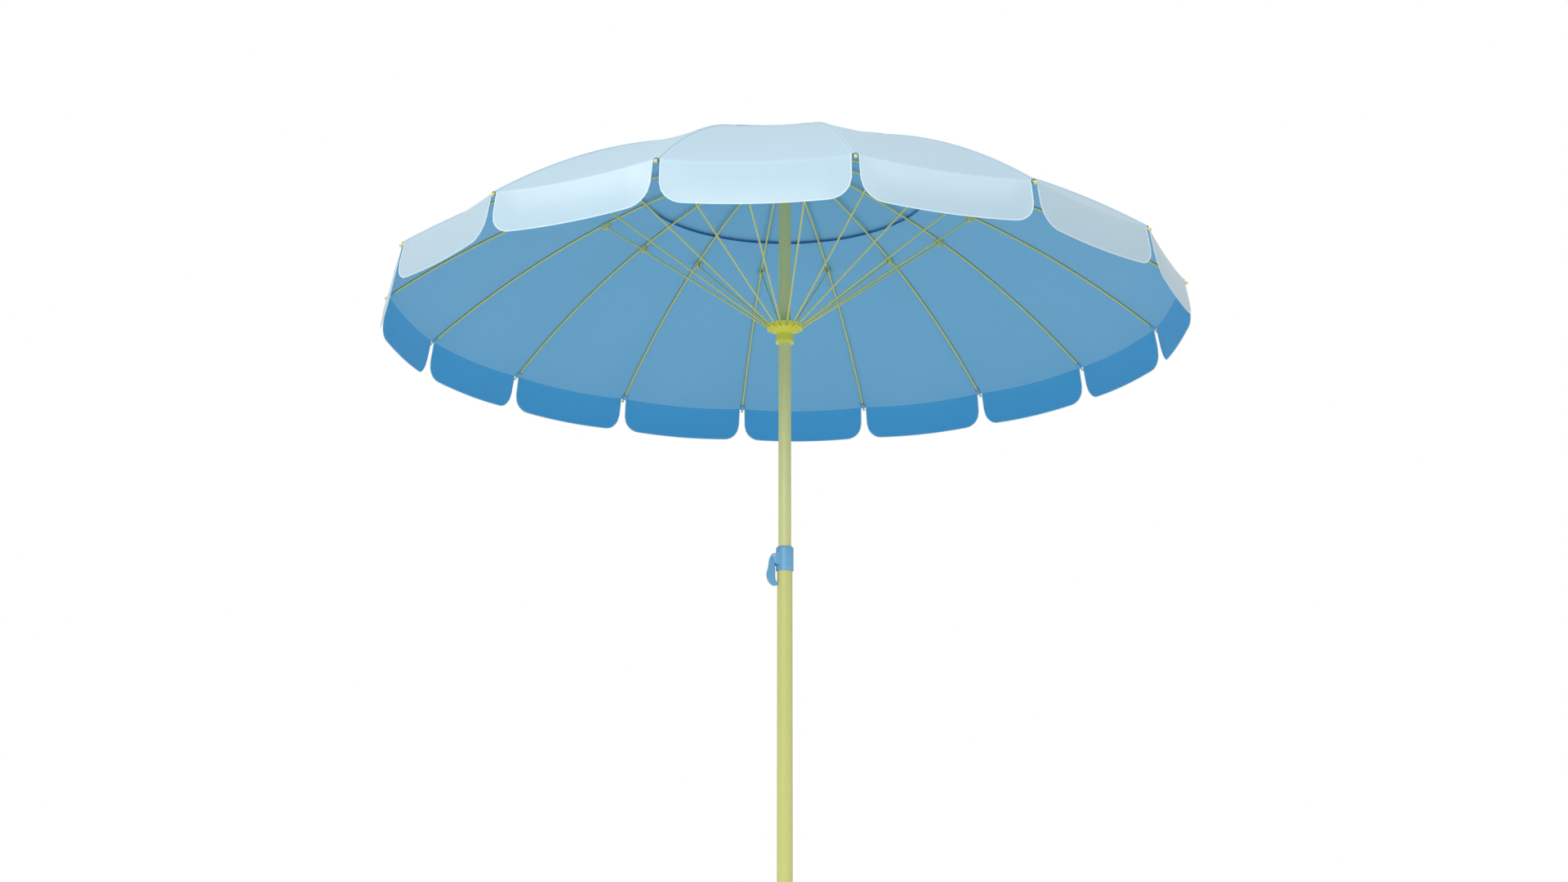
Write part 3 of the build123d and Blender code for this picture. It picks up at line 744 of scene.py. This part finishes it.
# %% Hard materials
def coat_material(name, colour, bare, roughness, peel, wear):
    """Powder coat: orange-peel bump, slow tone, and a rubbed tone on edges."""
    material, tree, shader, position, _ = start_material(name, roughness, Coat_Weight=0.06)
    shader.inputs["Coat Roughness"].default_value = 0.2
    base = toned(tree, position, colour, 6.0, 0.05)
    mask = place(tree, WEAR, position, Amount=wear, Scale=160.0)["Mask"]
    base = mix_colour(tree, mask, base, bare)
    tree.links.new(base, shader.inputs["Base Color"])
    skin = noise_node(tree, position, 420.0, 2.0)
    fine = noise_node(tree, position, 24.0, 3.0)
    sheen = math_node(tree, "MULTIPLY_ADD", fine, 0.14, roughness - 0.07)
    tree.links.new(sheen, shader.inputs["Roughness"])
    bump(tree, shader, skin, peel, 0.0005)
    return material


def moulded_material(name, colour, roughness, wear):
    """Moulded nylon: fine spark texture, flow marks, slightly lighter rubbed edges."""
    material, tree, shader, position, _ = start_material(name, roughness)
    shader.inputs["Subsurface Weight"].default_value = 0.06
    shader.inputs["Subsurface Radius"].default_value = (0.004, 0.003, 0.002)
    base = toned(tree, position, colour, 30.0, 0.06)
    mask = place(tree, WEAR, position, Amount=wear, Scale=220.0)["Mask"]
    base = mix_colour(tree, mask, base, [min(1.0, c * 1.35 + 0.04) for c in colour])
    tree.links.new(base, shader.inputs["Base Color"])
    grain = noise_node(tree, position, 900.0, 2.0, 0.6)
    marks = noise_node(tree, position, 60.0, 2.0)
    sheen = math_node(tree, "MULTIPLY_ADD", marks, 0.18, roughness - 0.09)
    tree.links.new(sheen, shader.inputs["Roughness"])
    bump(tree, shader, grain, 0.18, 0.0003)
    return material


def metal_material(name, colour, roughness):
    """Plated or spring steel with fine drawing lines."""
    material, tree, shader, position, _ = start_material(name, roughness, Metallic=1.0)
    stretch = tree.nodes.new("ShaderNodeMapping")
    stretch.inputs["Scale"].default_value = (1.0, 1.0, 14.0)
    tree.links.new(position, stretch.inputs["Vector"])
    lines = noise_node(tree, stretch.outputs[0], 300.0, 3.0)
    tree.links.new(toned(tree, position, colour, 80.0, 0.08), shader.inputs["Base Color"])
    tree.links.new(math_node(tree, "MULTIPLY_ADD", lines, 0.2, roughness - 0.1), shader.inputs["Roughness"])
    bump(tree, shader, lines, 0.12, 0.0002)
    return material


POLE_YELLOW = (0.66, 0.66, 0.19)
WIRE_YELLOW = (0.68, 0.68, 0.22)
NYLON_YELLOW = (0.77, 0.75, 0.07)
CLAMP_BLUE = (0.15, 0.39, 0.62)

pole_coat = coat_material("pole_powder_coat", POLE_YELLOW, (0.74, 0.74, 0.42), 0.36, 0.06, 0.5)
wire_coat = coat_material("wire_powder_coat", WIRE_YELLOW, (0.72, 0.72, 0.40), 0.42, 0.05, 0.5)
yellow_nylon = moulded_material("yellow_nylon", NYLON_YELLOW, 0.42, 0.5)
blue_nylon = moulded_material("blue_nylon", CLAMP_BLUE, 0.38, 0.5)
spike_plastic = moulded_material("spike_plastic", (0.60, 0.60, 0.20), 0.5, 0.7)
pin_steel = metal_material("pin_steel", (0.62, 0.62, 0.61), 0.32)
spring_steel = metal_material("spring_steel", (0.52, 0.52, 0.54), 0.28)

FINISH = {
    "rib_wire": wire_coat,
    "stretcher_wire": wire_coat,
    "pole_paint": pole_coat,
    "clamp_plastic": blue_nylon,
    "runner_plastic": yellow_nylon,
    "spike_plastic": spike_plastic,
    "pin_steel": pin_steel,
    "spring_steel": spring_steel,
    "canopy_cloth": outer_cloth,
}
for subpart in frame["record"]["subparts"]:
    node = frame["nodes"][subpart["node"]]
    for place_in_node in node.material_slots:
        place_in_node.link = "OBJECT"
        place_in_node.material = FINISH[subpart["material_slot"]]
print("finishes given to", len(frame["nodes"]), "nodes")

# %% [markdown]
# ## Camera and light
# The umbrella stands on a pale floor in even daylight. The camera is low, below the rim, and looks up
# into the canopy, so most of what it sees is lit by the floor and the open sides. A soft light on each
# side lifts the valance, the stronger one on the left, and a low one in front brightens the pole.

# %% Stage
FLOOR_SIZE = 8.0
SKY_FILL = 0.72


def add_floor():
    """Plain pale floor at the foot of the pole."""
    bpy.ops.mesh.primitive_plane_add(size=FLOOR_SIZE, location=(0, 0, 0))
    floor = bpy.context.object
    floor.name = "floor"
    material, tree, shader, position, _ = start_material("floor_paint", 0.9)
    tree.links.new(toned(tree, position, (0.9, 0.9, 0.9), 0.5, 0.01), shader.inputs["Base Color"])
    floor.data.materials.append(material)


def add_light(name, place_at, aim, size, power):
    """Square area light aimed at a point."""
    light = bpy.data.lights.new(name, "AREA")
    light.size = size
    light.energy = power
    lamp = bpy.data.objects.new(name, light)
    lamp.location = place_at
    lamp.rotation_euler = (Vector(aim) - Vector(place_at)).to_track_quat("-Z", "Y").to_euler()
    bpy.context.scene.collection.objects.link(lamp)


add_floor()
world = bpy.data.worlds.new("even_daylight")
world.use_nodes = True
sky = world.node_tree.nodes["Background"]
sky.inputs["Color"].default_value = (1, 1, 1, 1)
path_of_light = world.node_tree.nodes.new("ShaderNodeLightPath")
from_camera = path_of_light.outputs["Is Camera Ray"]
seen = math_node(world.node_tree, "MULTIPLY_ADD", from_camera, 1 - SKY_FILL, SKY_FILL)
world.node_tree.links.new(seen, sky.inputs["Strength"])
bpy.context.scene.world = world
bpy.context.scene.view_settings.view_transform = "Standard"

CAMERA_DISTANCE = 3.724 * tip.x
CAMERA_BELOW_RIM = 1.216 * tip.x
CAMERA_TURN = math.radians(-97.896)
CAMERA_PITCH = math.radians(13.357)
SENSOR_WIDTH = 36.0
LENS = 34.858
LENS_SHIFT = -0.0005
view_from = Vector((math.cos(CAMERA_TURN), math.sin(CAMERA_TURN), 0))
to_right = Vector((-view_from.y, view_from.x, 0))
rim_centre = Vector((0, 0, tip.y))
FILL_AIM_BELOW_RIM = 0.8


def light_place(turn, rise, distance):
    """Point at an angle beside the camera's side of the canopy, and at an angle above the rim."""
    turn, rise = math.radians(turn), math.radians(rise)
    level = view_from * math.cos(turn) + to_right * math.sin(turn)
    return rim_centre + (level * math.cos(rise) + Vector((0, 0, math.sin(rise)))) * distance


low_aim = rim_centre - Vector((0, 0, FILL_AIM_BELOW_RIM))
add_light("soft_left", light_place(-45, 42, 4.2), rim_centre, 1.4, 40)
add_light("soft_right", light_place(45, 42, 4.2), rim_centre, 1.1, 15)
add_light("front_fill", light_place(-12, 8, 4.6), low_aim, 1.2, 46)

camera_data = bpy.data.cameras.new("camera")
camera_data.sensor_width = SENSOR_WIDTH
camera_data.lens = LENS
camera_data.shift_x = LENS_SHIFT
camera = bpy.data.objects.new("camera", camera_data)
camera.location = view_from * CAMERA_DISTANCE + Vector((0, 0, tip.y - CAMERA_BELOW_RIM))
look = -view_from * math.cos(CAMERA_PITCH) + Vector((0, 0, math.sin(CAMERA_PITCH)))
camera.rotation_euler = look.to_track_quat("-Z", "Y").to_euler()
bpy.context.scene.collection.objects.link(camera)
bpy.context.scene.camera = camera
print("camera at", [round(c, 3) for c in camera.location])
